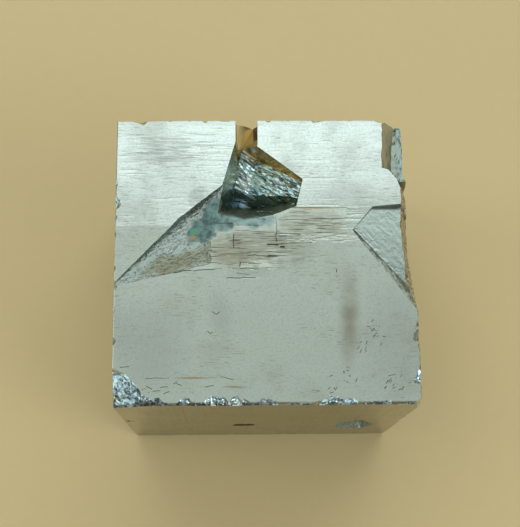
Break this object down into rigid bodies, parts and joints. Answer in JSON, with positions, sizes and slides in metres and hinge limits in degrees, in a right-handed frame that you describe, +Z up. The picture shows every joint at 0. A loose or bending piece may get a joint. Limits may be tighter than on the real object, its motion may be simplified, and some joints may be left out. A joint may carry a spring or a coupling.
{
  "type": "pyrite cube",
  "caption": "Natural pyrite crystal of cubic form with striated metallic faces, growth steps, a contact hollow open at the back edge and chipped edges.",
  "frame": {"origin": "middle of the face that the cube rests on", "axes": "+Z up; +Y towards the face that the hollow opens through; -Y is the front face, with the oval pit; +X towards the spalled edge"},
  "size_m": [0.05, 0.0486, 0.05],
  "materials": {
    "pyrite": "pale brassy metal lustre, finely striated growth faces, rough bright breaks and patches of brown and blue-green tarnish"
  },
  "bodies": {
    "root": {"pyrite_cube": "pyrite"}
  },
  "joints": []
}
